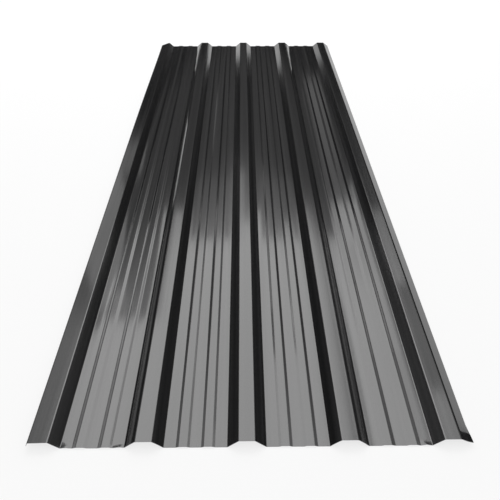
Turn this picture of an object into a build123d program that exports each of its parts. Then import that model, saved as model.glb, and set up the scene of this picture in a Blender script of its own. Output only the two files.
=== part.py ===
from build123d import *

import os

# Trapezoidal roofing sheet: one rolled steel sheet, with five main ribs and two stiffening swages in each pan.
# It lies on its pans. X runs across the ribs, Y along them and Z up, with the origin on the floor under the
# middle of the sheet. All sizes are in millimetres.

# The sheet
sheet_length = 1290.0
sheet_thickness = 0.5
profile_height = 10.0  # from the underside of the pans to the top of the rib crowns

# The main ribs
rib_count = 5
rib_pitch = 104.5
rib_crown = 16.4  # width of the flat top, between its two bend lines
rib_run = 11.5  # width that one sloping side covers
rib_bend_radius = 2.0  # on the underside

# The stiffening swages, raised in pairs in each pan
swage_spacing = 25.7  # between the middles of a pair
swage_crown = 7.7
swage_run = 3.5
swage_rise = 1.0
swage_bend_radius = 4.0  # on the underside

# The left edge: a lap flange that covers the last rib of the next sheet, with its edge turned down
lap_flange_width = 21.5  # from the cut edge to the inner bend line of the first rib
hem_run = 1.5
hem_drop = 4.0
hem_bend_radius = 1.5  # on the underside

# The right edge: a sloping lip that stops short of the floor
lip_run = 12.0
lip_floor_gap = 1.0

# Levels of the underside, which the outline below follows
pan_level = 0
swage_level = swage_rise
crown_level = profile_height - sheet_thickness

# Places across the sheet
sheet_width = lap_flange_width + (rib_count - 1) * rib_pitch + lip_run
left_edge = -sheet_width / 2
right_edge = sheet_width / 2
first_rib = left_edge + lap_flange_width - rib_crown / 2
rib_centres = [first_rib + i * rib_pitch for i in range(rib_count)]
pan_centres = [centre + rib_pitch / 2 for centre in rib_centres[:-1]]


def raised_bends(centre, crown, run, top_level):
    """The four bend lines of a raised form, from its left foot to its right foot."""
    shoulder = crown / 2
    foot = shoulder + run
    return [
        (centre - foot, pan_level),
        (centre - shoulder, top_level),
        (centre + shoulder, top_level),
        (centre + foot, pan_level),
    ]


def rib_bends(centre):
    """The bend lines of a main rib."""
    return raised_bends(centre, rib_crown, rib_run, crown_level)


def swage_bends(pan_centre):
    """The bend lines of the two swages in a pan."""
    left_swage = pan_centre - swage_spacing / 2
    right_swage = pan_centre + swage_spacing / 2
    return [
        bend
        for centre in (left_swage, right_swage)
        for bend in raised_bends(centre, swage_crown, swage_run, swage_level)
    ]


# The first rib runs out into the lap flange and the last one into the lip, so each has only part of its bends
hem_end = (left_edge, crown_level - hem_drop)
hem_bend = (left_edge + hem_run, crown_level)
lip_end = (right_edge, pan_level + lip_floor_gap)
ribs = [rib_bends(centre) for centre in rib_centres]
ribs[0] = ribs[0][2:]
ribs[-1] = ribs[-1][:3]

# The underside from the left edge to the right edge, with the radius of each bend
corners = [hem_end, hem_bend, *ribs[0]]
radii = [hem_bend_radius] + [rib_bend_radius] * len(ribs[0])
for pan_centre, next_rib in zip(pan_centres, ribs[1:]):
    swages = swage_bends(pan_centre)
    corners += [*swages, *next_rib]
    radii += [swage_bend_radius] * len(swages) + [rib_bend_radius] * len(next_rib)
corners.append(lip_end)

with BuildPart() as roof_sheet:
    with BuildSketch(Plane.XZ) as section:
        with BuildLine() as underside:
            FilletPolyline(*corners, radius=radii)
            offset(amount=sheet_thickness, side=Side.LEFT)
        make_face()
    extrude(amount=sheet_length / 2, both=True)

roof_sheet.part.label = "roof_sheet"

os.makedirs("parts", exist_ok=True)
export_step(roof_sheet.part, "parts/roof_sheet.step")
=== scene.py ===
import math

import bmesh
import bpy
from mathutils import Matrix, Vector, noise


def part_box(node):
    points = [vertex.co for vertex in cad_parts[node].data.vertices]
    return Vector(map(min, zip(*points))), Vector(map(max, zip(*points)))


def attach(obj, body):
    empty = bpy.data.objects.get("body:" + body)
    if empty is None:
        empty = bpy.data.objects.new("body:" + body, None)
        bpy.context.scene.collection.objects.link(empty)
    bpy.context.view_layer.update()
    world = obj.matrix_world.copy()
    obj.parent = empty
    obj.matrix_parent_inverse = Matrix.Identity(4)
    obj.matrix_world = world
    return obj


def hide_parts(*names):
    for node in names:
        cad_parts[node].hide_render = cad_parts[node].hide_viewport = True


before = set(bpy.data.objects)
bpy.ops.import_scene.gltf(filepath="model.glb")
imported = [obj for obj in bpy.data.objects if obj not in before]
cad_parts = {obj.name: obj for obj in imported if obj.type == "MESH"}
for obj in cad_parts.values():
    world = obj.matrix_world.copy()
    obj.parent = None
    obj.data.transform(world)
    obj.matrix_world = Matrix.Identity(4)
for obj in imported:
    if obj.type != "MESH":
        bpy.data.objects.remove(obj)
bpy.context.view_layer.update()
sheetLow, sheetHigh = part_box("roof_sheet")
scene = bpy.context.scene
scene.view_settings.view_transform = 'Standard'
mm = 0.001
touching = 0.01 * mm  # points this close are one
print("frame loaded, sheet box", [round(v, 4) for v in sheetHigh - sheetLow])


# small helpers

def smoothStep(low, high, value):
    t = min(max((value - low) / (high - low), 0.0), 1.0)
    return t * t * (3.0 - 2.0 * t)


def addNode(tree, kind, **settings):
    node = tree.nodes.new(kind)
    for name, value in settings.items():
        setattr(node, name, value)
    return node


def setInputs(node, **values):
    for name, value in values.items():
        node.inputs[name].default_value = value
    return node


def addMath(tree, operation, *values):
    # each value is a number or the socket that gives it
    node = addNode(tree, 'ShaderNodeMath', operation=operation)
    for socket, value in zip(node.inputs, values):
        if isinstance(value, bpy.types.NodeSocket):
            tree.links.new(value, socket)
        else:
            socket.default_value = value
    return node.outputs["Value"]


def mapRange(tree, value, fromRange, toRange):
    node = addNode(tree, 'ShaderNodeMapRange')
    setInputs(node, **{"From Min": fromRange[0], "From Max": fromRange[1]})
    setInputs(node, **{"To Min": toRange[0], "To Max": toRange[1]})
    tree.links.new(value, node.inputs["Value"])
    return node.outputs["Result"]


def mixColors(tree, mask, first, second):
    node = addNode(tree, 'ShaderNodeMix', data_type='RGBA')
    tree.links.new(mask, node.inputs[0])
    node.inputs[6].default_value = first  # the two colour sockets of a mix node
    node.inputs[7].default_value = second
    return node.outputs[2]


def newGroup(name, inputs, outputs):
    group = bpy.data.node_groups.new(name, 'ShaderNodeTree')
    for socketName, kind, value in inputs:
        socket = group.interface.new_socket(socketName, in_out='INPUT', socket_type=kind)
        if value is not None:
            socket.default_value = value
    for socketName, kind in outputs:
        group.interface.new_socket(socketName, in_out='OUTPUT', socket_type=kind)
    return group, addNode(group, 'NodeGroupInput'), addNode(group, 'NodeGroupOutput')


def placeGroup(tree, group, vector, **values):
    node = addNode(tree, 'ShaderNodeGroup', node_tree=group)
    tree.links.new(vector, node.inputs["Vector"])
    return setInputs(node, **values)


def emptyMaterial(name):
    material = bpy.data.materials.new(name)
    material.use_nodes = True
    material.node_tree.nodes.clear()
    return material, material.node_tree


def newFinish(name):
    material, tree = emptyMaterial(name)
    shader = addNode(tree, 'ShaderNodeBsdfPrincipled')
    output = addNode(tree, 'ShaderNodeOutputMaterial')
    tree.links.new(shader.outputs["BSDF"], output.inputs["Surface"])
    place = addNode(tree, 'ShaderNodeTexCoord').outputs["Object"]
    return material, tree, shader, place


# effects that several finishes share

# fine lines that the forming rolls leave along the sheet
rollingLines = {"across": 300.0, "along": 2.0, "detail": 4.0, "roughness": 0.6}


def makeRollingMarks(s):
    group, groupIn, groupOut = newGroup(
        "rollingMarks",
        [
            ("Vector", 'NodeSocketVector', None),
            ("Across", 'NodeSocketFloat', s["across"]),
            ("Along", 'NodeSocketFloat', s["along"]),
        ],
        [("Mask", 'NodeSocketFloat')],
    )
    links = group.links
    stretch = addNode(group, 'ShaderNodeCombineXYZ')
    links.new(groupIn.outputs["Across"], stretch.inputs["X"])
    links.new(groupIn.outputs["Along"], stretch.inputs["Y"])
    links.new(groupIn.outputs["Across"], stretch.inputs["Z"])
    scaled = addNode(group, 'ShaderNodeVectorMath', operation='MULTIPLY')
    links.new(groupIn.outputs["Vector"], scaled.inputs[0])
    links.new(stretch.outputs["Vector"], scaled.inputs[1])
    lines = setInputs(addNode(group, 'ShaderNodeTexNoise'), Scale=1.0)
    setInputs(lines, Detail=s["detail"], Roughness=s["roughness"])
    links.new(scaled.outputs["Vector"], lines.inputs["Vector"])
    links.new(lines.outputs["Fac"], groupOut.inputs["Mask"])
    return group


# the slight ripple of a baked coating
bakedRipple = {"scale": 600.0, "detail": 1.5, "roughness": 0.45}


def makeOrangePeel(s):
    group, groupIn, groupOut = newGroup(
        "orangePeel",
        [("Vector", 'NodeSocketVector', None), ("Scale", 'NodeSocketFloat', s["scale"])],
        [("Height", 'NodeSocketFloat')],
    )
    ripple = addNode(group, 'ShaderNodeTexNoise')
    setInputs(ripple, Detail=s["detail"], Roughness=s["roughness"])
    group.links.new(groupIn.outputs["Vector"], ripple.inputs["Vector"])
    group.links.new(groupIn.outputs["Scale"], ripple.inputs["Scale"])
    group.links.new(ripple.outputs["Fac"], groupOut.inputs["Height"])
    return group


rollingMarks = makeRollingMarks(rollingLines)
orangePeel = makeOrangePeel(bakedRipple)


# finishes

def coatSurface(tree, shader, place, s):
    # roughness that follows the rolling marks, and the ripple of the coat
    marks = placeGroup(tree, rollingMarks, place, Across=s["marksAcross"], Along=s["marksAlong"])
    rough = mapRange(tree, marks.outputs["Mask"], s["marksRange"], s["roughness"])
    tree.links.new(rough, shader.inputs["Roughness"])
    peel = placeGroup(tree, orangePeel, place, Scale=s["peelScale"])
    bump = setInputs(addNode(tree, 'ShaderNodeBump'), Strength=1.0, Distance=s["peelDistance"])
    tree.links.new(peel.outputs["Height"], bump.inputs["Height"])
    tree.links.new(bump.outputs["Normal"], shader.inputs["Normal"])
    return marks.outputs["Mask"]


anthracite = {
    "color": (0.0075, 0.0075, 0.0078, 1.0),
    "colorWorn": (0.022, 0.022, 0.0224, 1.0),
    "ior": 1.75,
    "streaksAcross": 120.0,
    "streaksAlong": 0.9,
    "wornRange": (0.42, 0.75),
    "marksAcross": 260.0,
    "marksAlong": 1.6,
    "marksRange": (0.3, 0.7),
    "roughness": (0.07, 0.12),
    "peelScale": 650.0,
    "peelDistance": 0.004 * mm,
}


def makeAnthraciteCoat(s):
    material, tree, shader, place = newFinish("anthraciteCoat")
    setInputs(shader, IOR=s["ior"])
    streaks = placeGroup(tree, rollingMarks, place, Across=s["streaksAcross"], Along=s["streaksAlong"])
    worn = mapRange(tree, streaks.outputs["Mask"], s["wornRange"], (0.0, 1.0))
    tree.links.new(mixColors(tree, worn, s["color"], s["colorWorn"]), shader.inputs["Base Color"])
    coatSurface(tree, shader, place, s)
    return material


backing = {
    "color": (0.16, 0.16, 0.165, 1.0),
    "colorPale": (0.21, 0.21, 0.215, 1.0),
    "marksAcross": 180.0,
    "marksAlong": 2.4,
    "marksRange": (0.3, 0.7),
    "roughness": (0.42, 0.58),
    "peelScale": 420.0,
    "peelDistance": 0.006 * mm,
}


def makeBackingCoat(s):
    material, tree, shader, place = newFinish("backingCoat")
    marks = coatSurface(tree, shader, place, s)
    tree.links.new(mixColors(tree, marks, s["color"], s["colorPale"]), shader.inputs["Base Color"])
    return material


cutZinc = {
    "color": (0.42, 0.42, 0.43, 1.0),
    "colorDull": (0.20, 0.20, 0.21, 1.0),
    "metallic": 0.85,
    "roughness": 0.38,
    "shearScale": 900.0,
    "shearDetail": 3.0,
}


def makeCutEdge(s):
    # sheared steel with zinc smeared over it
    material, tree, shader, place = newFinish("cutEdge")
    setInputs(shader, Metallic=s["metallic"], Roughness=s["roughness"])
    shear = setInputs(addNode(tree, 'ShaderNodeTexNoise'), Scale=s["shearScale"], Detail=s["shearDetail"])
    tree.links.new(place, shear.inputs["Vector"])
    color = mixColors(tree, shear.outputs["Fac"], s["color"], s["colorDull"])
    tree.links.new(color, shader.inputs["Base Color"])
    return material


# the rolled sheet, made along its underside and then given its thickness

roofSheet = {
    "thickness": 0.5 * mm,
    "ribCount": 5,
    "ribPitch": 104.5 * mm,
    "ribCrown": 16.4 * mm,
    "ribRun": 11.5 * mm,
    "ribBend": 2.0 * mm,
    "swageSpacing": 25.7 * mm,
    "swageCrown": 7.7 * mm,
    "swageRun": 3.38 * mm,
    "swageRise": 1.0 * mm,
    "swageBend": 4.0 * mm,
    "flangeWidth": 21.5 * mm,
    "hemRun": 1.5 * mm,
    "hemDrop": 4.0 * mm,
    "hemBend": 1.5 * mm,
    "lipRun": 12.0 * mm,
    "lipGap": 1.0 * mm,
    "lipBend": 4.5 * mm,
    "bendSegments": 3,
    "columnWidth": 3.4 * mm,
    "rowCount": 108,
    "endRows": (1.5 * mm, 3.0 * mm, 5.0 * mm, 8.0 * mm),  # closer rows at the cut ends
    # waves that rolling left in the pans
    "waveAcross": 9.0 * mm,
    "waveAlong": 230.0 * mm,
    "waveHeights": (0.30 * mm, 0.08 * mm, 0.08 * mm, 0.12 * mm),  # one for each pan
    "waveFade": 6.0 * mm,  # they die out this far from the ribs
    "waveSeed": 0.7,
    # ribs whose sloping sides bow out a little
    "bulgeRibs": (1, 3),
    "bulgeLift": 0.40 * mm,
    # the flange droops, most at the far end
    "droopStart": 150.0 * mm,
    "droopAngle": math.radians(1.9),
    "droopEndAngle": math.radians(19.0),
    # the lip flares at the front corner
    "flareReach": 26.0 * mm,
    "flareLift": 2.8 * mm,
    "flareSpread": 0.8 * mm,
    # dents in the front edge: place across, half width, depth and lift
    "dents": (
        (-187.5 * mm, 4.49 * mm, 5.0 * mm, 1.0 * mm),
        (-132.0 * mm, 5.31 * mm, 3.5 * mm, 1.2 * mm),
        (179.5 * mm, 3.27 * mm, 3.5 * mm, 1.4 * mm),
    ),
}
sheetLength = sheetHigh.y - sheetLow.y
crownLevel = sheetHigh.z - roofSheet["thickness"]  # underside of the crowns
ribSpan = (roofSheet["ribCount"] - 1) * roofSheet["ribPitch"]
flatWidth = roofSheet["flangeWidth"] + ribSpan + roofSheet["lipRun"]
firstRib = -flatWidth / 2 + roofSheet["flangeWidth"] - roofSheet["ribCrown"] / 2
ribCentres = [firstRib + i * roofSheet["ribPitch"] for i in range(roofSheet["ribCount"])]
panCentres = [x + roofSheet["ribPitch"] / 2 for x in ribCentres[:-1]]


def raisedBends(centre, crown, run, top, radius):
    half = crown / 2
    return [
        (centre - half - run, 0.0, radius),
        (centre - half, top, radius),
        (centre + half, top, radius),
        (centre + half + run, 0.0, radius),
    ]


def profileBends(s):
    # places across the sheet, levels and bend radii from the hem to the lip
    ribs = [raisedBends(x, s["ribCrown"], s["ribRun"], crownLevel, s["ribBend"]) for x in ribCentres]
    bends = [(-flatWidth / 2, crownLevel - s["hemDrop"], 0.0)]
    bends += [(-flatWidth / 2 + s["hemRun"], crownLevel, s["hemBend"])]
    bends += ribs[0][2:]
    for centre, nextRib in zip(panCentres, ribs[1:]):
        for side in (-0.5, 0.5):
            swage = centre + side * s["swageSpacing"]
            bends += raisedBends(swage, s["swageCrown"], s["swageRun"], s["swageRise"], s["swageBend"])
        bends += nextRib
    bends[-2] = bends[-2][:2] + (s["lipBend"],)
    bends[-1] = (flatWidth / 2, s["lipGap"], 0.0)
    return bends


def bendOffset(before, corner, after):
    # how far a bend of the given radius reaches along the flats beside it
    a = Vector((corner[0] - before[0], corner[1] - before[1]))
    b = Vector((after[0] - corner[0], after[1] - corner[1]))
    return corner[2] * math.tan(a.angle(b) / 2)


def longEdges(bm):
    return [e for e in bm.edges if abs(e.verts[0].co.y - e.verts[1].co.y) > touching]


def rollProfile(bm, s):
    bends = profileBends(s)
    line = [bm.verts.new((x, sheetLow.y, z)) for x, z, _ in bends]
    edges = [bm.edges.new(pair) for pair in zip(line, line[1:])]
    grown = bmesh.ops.extrude_edge_only(bm, edges=edges)["geom"]
    farEnd = [g for g in grown if isinstance(g, bmesh.types.BMVert)]
    bmesh.ops.translate(bm, verts=farEnd, vec=(0, sheetLength, 0))
    # the folds, each kind with its own reach
    reaches = {}
    for before, corner, after in zip(bends, bends[1:], bends[2:]):
        reaches.setdefault(round(bendOffset(before, corner, after), 6), []).append(corner[:2])
    for reach, places in reaches.items():
        folds = [
            e for e in longEdges(bm)
            if any(abs(e.verts[0].co.x - x) + abs(e.verts[0].co.z - z) < touching for x, z in places)
        ]
        bmesh.ops.bevel(
            bm, geom=folds, offset=reach, offset_type='OFFSET', affect='EDGES',
            segments=s["bendSegments"], profile=0.5, material=-1, clamp_overlap=False,
        )
    print("profile rolled,", len(bm.faces), "strips")


def divideSheet(bm, s):
    # columns across the flats and rows along the sheet
    across = {}
    for e in bm.edges:
        cuts = int(e.calc_length() / s["columnWidth"])
        if abs(e.verts[0].co.y - e.verts[1].co.y) < touching and cuts:
            across.setdefault(cuts, []).append(e)
    for cuts, edges in across.items():
        bmesh.ops.subdivide_edges(bm, edges=edges, cuts=cuts)
    bmesh.ops.subdivide_edges(bm, edges=longEdges(bm), cuts=s["rowCount"])
    for inset in s["endRows"]:
        for y in (sheetLow.y + inset, sheetHigh.y - inset):
            bmesh.ops.bisect_plane(
                bm, geom=bm.verts[:] + bm.edges[:] + bm.faces[:], dist=touching,
                plane_co=(0, y, 0), plane_no=(0, 1, 0),
            )
    print("sheet divided,", len(bm.faces), "faces")


# what rolling, handling and shearing did to the sheet

def panLift(s, x, y):
    halfPan = (s["ribPitch"] - s["ribCrown"]) / 2 - s["ribRun"]
    for centre, height in zip(panCentres, s["waveHeights"]):
        inside = halfPan - abs(x - centre)
        if inside > 0:
            wave = noise.noise(Vector((x / s["waveAcross"], y / s["waveAlong"], s["waveSeed"])))
            return height * (0.5 + 0.5 * wave) * smoothStep(0.0, s["waveFade"], inside)
    return 0.0


def dentLift(s, x, y):
    lift = 0.0
    for centre, halfWidth, depth, height in s["dents"]:
        across = (x - centre) / halfWidth
        along = (y - sheetLow.y) / depth
        lift += height * math.exp(-across * across - along * along)
    return lift


def webLift(s, x):
    for i in s["bulgeRibs"]:
        share = (abs(x - ribCentres[i]) - s["ribCrown"] / 2) / s["ribRun"]
        if 0.0 < share < 1.0:
            return s["bulgeLift"] * 4.0 * share * (1.0 - share)  # most at half the slope
    return 0.0


def settleSheet(bm, s):
    flangeFold = ribCentres[0] + s["ribCrown"] / 2
    lipFold = ribCentres[-1] + s["ribCrown"] / 2
    for v in bm.verts:
        x, y = v.co.x, v.co.y
        v.co.z += panLift(s, x, y) + dentLift(s, x, y) + webLift(s, x)
        if x < flangeFold:
            share = smoothStep(s["droopStart"], sheetHigh.y, y)
            angle = s["droopAngle"] + (s["droopEndAngle"] - s["droopAngle"]) * share
            drop = (flangeFold - x) * math.tan(angle)
            v.co.z = max(v.co.z - drop, 0.0)  # the turned-down edge comes to rest on the floor
        if x > lipFold:
            share = (x - lipFold) / s["lipRun"]
            flare = smoothStep(sheetLow.y + s["flareReach"], sheetLow.y, y)
            v.co.z += s["flareLift"] * share * share * flare
            v.co.x += s["flareSpread"] * share * flare
    print("sheet settled, lowest point", round(min(v.co.z for v in bm.verts) / mm, 3), "mm")


def giveThickness(bm, s):
    # the underside faces down, so the coated side grows upwards from it
    bm.normal_update()
    if sum(f.normal.z for f in bm.faces) > 0:
        bmesh.ops.reverse_faces(bm, faces=bm.faces[:])
    underside = set(bm.faces)
    bmesh.ops.solidify(bm, geom=bm.faces[:], thickness=s["thickness"])
    # the coated top keeps the first finish, and the underside and the cut rim take the others
    for f in bm.faces:
        f.smooth = True
        if f in underside:
            f.material_index = 1
        elif any(other in underside for e in f.edges for other in e.link_faces):
            f.material_index = 2
    for e in bm.edges:
        e.smooth = len({f.material_index for f in e.link_faces}) == 1
    print("thickness given,", len(bm.faces), "faces")


def makeRoofSheet(s):
    bm = bmesh.new()
    rollProfile(bm, s)
    divideSheet(bm, s)
    settleSheet(bm, s)
    giveThickness(bm, s)
    mesh = bpy.data.meshes.new("coatedSheet")
    bm.to_mesh(mesh)
    bm.free()
    for material in (makeAnthraciteCoat(anthracite), makeBackingCoat(backing), makeCutEdge(cutZinc)):
        mesh.materials.append(material)
    piece = bpy.data.objects.new("coatedSheet", mesh)
    scene.collection.objects.link(piece)
    weighted = piece.modifiers.new("flatShading", 'WEIGHTED_NORMAL')
    weighted.keep_sharp = True
    weighted.weight = 100
    weighted.thresh = 0.000001  # in square metres, so that the narrow folds don't tilt the flats
    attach(piece, "root")
    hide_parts("roof_sheet")
    print("sheet made,", sum(len(p.vertices) - 2 for p in mesh.polygons), "triangles")


makeRoofSheet(roofSheet)


# floor, light and camera

def seenDirectly(tree):
    # camera, glossy and transmission rays
    rays = addNode(tree, 'ShaderNodeLightPath').outputs
    seen = addMath(tree, 'MAXIMUM', rays["Is Camera Ray"], rays["Is Glossy Ray"])
    return addMath(tree, 'MAXIMUM', seen, rays["Is Transmission Ray"])


def stagePiece(bm, name):
    mesh = bpy.data.meshes.new(name)
    bm.to_mesh(mesh)
    bm.free()
    piece = bpy.data.objects.new(name, mesh)
    scene.collection.objects.link(piece)
    material, tree = emptyMaterial(name)
    mesh.materials.append(material)
    return piece, tree


studioFloor = {"halfSize": 15.0, "color": (0.90, 0.90, 0.90, 1.0), "glow": 0.75}


def makeFloor(s):
    bm = bmesh.new()
    bmesh.ops.create_grid(bm, x_segments=1, y_segments=1, size=s["halfSize"])
    tree = stagePiece(bm, "studioFloor")[1]
    paper = setInputs(addNode(tree, 'ShaderNodeBsdfDiffuse'), Color=s["color"])
    glow = setInputs(addNode(tree, 'ShaderNodeEmission'), Strength=1.0)
    mix = addNode(tree, 'ShaderNodeMixShader')
    tree.links.new(addMath(tree, 'MULTIPLY', seenDirectly(tree), s["glow"]), mix.inputs["Fac"])
    tree.links.new(paper.outputs["BSDF"], mix.inputs[1])
    tree.links.new(glow.outputs["Emission"], mix.inputs[2])
    output = addNode(tree, 'ShaderNodeOutputMaterial')
    tree.links.new(mix.outputs["Shader"], output.inputs["Surface"])


# white where it shows, softer as light
studioWorld = {"color": (1.0, 1.0, 1.0, 1.0), "seen": 1.0, "light": 0.75}


def makeWorld(s):
    world = bpy.data.worlds.new("studioWorld")
    scene.world = world
    world.use_nodes = True
    tree = world.node_tree
    tree.nodes.clear()
    strength = mapRange(tree, seenDirectly(tree), (0.0, 1.0), (s["light"], s["seen"]))
    background = setInputs(addNode(tree, 'ShaderNodeBackground'), Color=s["color"])
    tree.links.new(strength, background.inputs["Strength"])
    output = addNode(tree, 'ShaderNodeOutputWorld')
    tree.links.new(background.outputs["Background"], output.inputs["Surface"])


# a round curtain, dark at its foot and paler towards its top, that only reflections show
darkCurtain = {
    "radius": 4.0,
    "height": 3.8,
    "sides": 480,
    "fullLevel": 3.0,  # where it turns white at the middle
    "sideLean": 0.70,  # and how much higher for each metre to the side
    "sideMost": 0.80,
    # low openings behind the sheet: places across and heights
    "opening": (
        (-2.35, 0.0), (-2.25, 0.19), (-1.75, 0.21), (-1.64, 0.0),
        (-1.17, 0.0), (-1.10, 0.22), (-1.03, 0.45), (-0.84, 0.66),
        (0.60, 0.54), (1.02, 0.42), (1.10, 0.0),
    ),
    # share of the height and brightness
    "levels": (
        (0.0, 0.03), (0.28, 0.03), (0.35, 0.11), (0.63, 0.20),
        (0.77, 0.45), (0.91, 0.90), (1.0, 1.0),
    ),
}


def openingHeight(outline, x):
    for (left, leftHigh), (right, rightHigh) in zip(outline, outline[1:]):
        if left <= x <= right:
            return leftHigh + (rightHigh - leftHigh) * (x - left) / (right - left)
    return 0.0


def makeCurtain(s):
    bm = bmesh.new()
    bmesh.ops.create_circle(bm, segments=s["sides"], radius=s["radius"])
    hem = bm.verts[:]
    grown = bmesh.ops.extrude_edge_only(bm, edges=bm.edges[:])["geom"]
    top = [g for g in grown if isinstance(g, bmesh.types.BMVert)]
    bmesh.ops.translate(bm, verts=top, vec=(0, 0, s["height"]))
    for v in hem:
        if v.co.y > 0:
            v.co.z = openingHeight(s["opening"], v.co.x)
    curtain, tree = stagePiece(bm, "darkCurtain")
    curtain.visible_camera = False
    curtain.visible_diffuse = False
    curtain.visible_shadow = False
    # the shade starts higher to the sides
    split = addNode(tree, 'ShaderNodeSeparateXYZ')
    tree.links.new(addNode(tree, 'ShaderNodeTexCoord').outputs["Object"], split.inputs["Vector"])
    aside = addMath(tree, 'ABSOLUTE', split.outputs["X"])
    lean = addMath(tree, 'MINIMUM', addMath(tree, 'MULTIPLY', aside, s["sideLean"]), s["sideMost"])
    level = addMath(tree, 'SUBTRACT', split.outputs["Z"], lean)
    ramp = addNode(tree, 'ShaderNodeValToRGB')
    tree.links.new(addMath(tree, 'DIVIDE', level, s["fullLevel"]), ramp.inputs["Fac"])
    stops = ramp.color_ramp.elements
    while len(stops) < len(s["levels"]):
        stops.new(1.0)
    for stop, (position, pale) in zip(stops, s["levels"]):
        stop.position = position
        stop.color = (pale, pale, pale, 1.0)
    cloth = addNode(tree, 'ShaderNodeEmission')
    tree.links.new(ramp.outputs["Color"], cloth.inputs["Color"])
    output = addNode(tree, 'ShaderNodeOutputMaterial')
    tree.links.new(cloth.outputs["Emission"], output.inputs["Surface"])


def makeSoftbox(name, width, height, brightness):
    lamp = bpy.data.lights.new(name, 'AREA')
    lamp.shape = 'RECTANGLE'
    lamp.size, lamp.size_y = width, height
    lamp.energy = brightness * math.pi * width * height
    box = bpy.data.objects.new(name, lamp)
    scene.collection.objects.link(box)
    return box


# softboxes side by side overhead: left, right, near, far and brightness
softboxes = {
    "level": 2.0,
    "spread": math.radians(150.0),
    "spans": (
        (-1.10, -0.92, 0.55, 1.70, 1.85),
        (-0.92, -0.84, 0.55, 2.15, 1.92),
        (-0.84, -0.53, 0.55, 1.74, 1.92),
        (-0.53, -0.44, 0.55, 2.95, 1.85),
        (-0.44, -0.06, 0.55, 2.60, 1.85),
        (-0.44, -0.06, 2.60, 3.50, 0.17),
        (-0.06, 0.06, 0.55, 2.80, 1.75),
        (-0.06, 0.005, 2.80, 3.60, 1.15),
        (0.06, 0.12, 0.55, 2.98, 1.78),
        (0.12, 0.29, 0.55, 2.60, 1.85),
        (0.29, 0.36, 0.55, 2.80, 1.85),
        (0.36, 0.45, 0.55, 2.60, 1.85),
        (0.12, 0.45, 2.60, 3.50, 0.17),
        (0.45, 0.495, 0.55, 3.00, 1.70),
        (0.495, 0.515, 0.55, 2.85, 1.40),
        (0.515, 0.53, 0.55, 2.70, 0.90),
        (0.53, 0.575, 0.55, 2.60, 0.15),
        (0.575, 0.69, 0.55, 2.60, 1.94),
        (0.69, 0.87, 0.55, 3.10, 1.78),
        (0.87, 0.93, 0.55, 1.45, 1.20),
        (0.87, 0.93, 1.45, 2.00, 1.50),
        (0.87, 0.93, 2.00, 3.40, 1.80),
        (0.97, 1.09, 2.05, 2.95, 1.30),
        (0.97, 1.09, 0.55, 1.15, 1.05),
    ),
}


def makeSoftboxes(s):
    for i, (left, right, near, far, brightness) in enumerate(s["spans"]):
        box = makeSoftbox("softbox%d" % i, right - left, far - near, brightness)
        box.location = ((left + right) / 2, (near + far) / 2, s["level"])
        box.data.spread = s["spread"]


# low softboxes at the sides and the far corners: place, size, turn and lean in degrees, and brightness
sideBoxes = {
    "leftBox": ((-3.03, 2.37, 2.375), (0.84, 0.33), -128.0, 26.0, 1.45),
    "leftFarBox": ((-2.41, 3.00, 1.885), (1.18, 0.235), -141.0, 31.0, 2.1),
    "rightBox": ((3.03, 2.37, 2.355), (0.84, 0.33), 128.0, -26.0, 0.78),
    "rightFarBox": ((2.41, 3.00, 1.865), (1.18, 0.235), 141.0, -31.0, 1.45),
    "farLeftBox": ((-1.41, 3.5, 2.60), (0.52, 1.6), 180.0, 0.0, 0.85),
    "flangeBox": ((-1.02, 3.5, 1.78), (0.26, 0.30), 180.0, 0.0, 0.50),
    "farRightBox": ((0.78, 3.7, 2.02), (0.15, 1.7), 180.0, 16.7, 0.32),
}


def makeSideBoxes(boxes):
    upright = Matrix.Rotation(math.pi / 2, 4, 'X')  # a lamp that shines along Y
    for name, (place, (width, height), turn, lean, brightness) in boxes.items():
        box = makeSoftbox(name, width, height, brightness)
        turned = Matrix.Rotation(math.radians(turn), 4, 'Z') @ upright
        leaned = Matrix.Rotation(math.radians(lean), 4, 'Z')
        box.matrix_world = Matrix.Translation(place) @ turned @ leaned


photoCamera = {
    "place": (-5.9 * mm, -1028.6 * mm, 524.4 * mm),
    "down": math.radians(35.88),
    "right": math.radians(0.76),
    "roll": math.radians(0.14),
    "focalPixels": 609.2,
    "imagePixels": 500,
    "sensor": 36.0,
}


def makeCamera(s):
    data = bpy.data.cameras.new("photoCamera")
    data.sensor_width = s["sensor"]
    data.lens = s["focalPixels"] / s["imagePixels"] * s["sensor"]
    camera = bpy.data.objects.new("photoCamera", data)
    turn = Matrix.Rotation(-s["right"], 4, 'Z') @ Matrix.Rotation(math.pi / 2 - s["down"], 4, 'X')
    camera.matrix_world = Matrix.Translation(s["place"]) @ turn @ Matrix.Rotation(s["roll"], 4, 'Z')
    scene.collection.objects.link(camera)
    scene.camera = camera


makeFloor(studioFloor)
makeWorld(studioWorld)
makeCurtain(darkCurtain)
makeSoftboxes(softboxes)
makeSideBoxes(sideBoxes)
makeCamera(photoCamera)
print("floor, light and camera set")
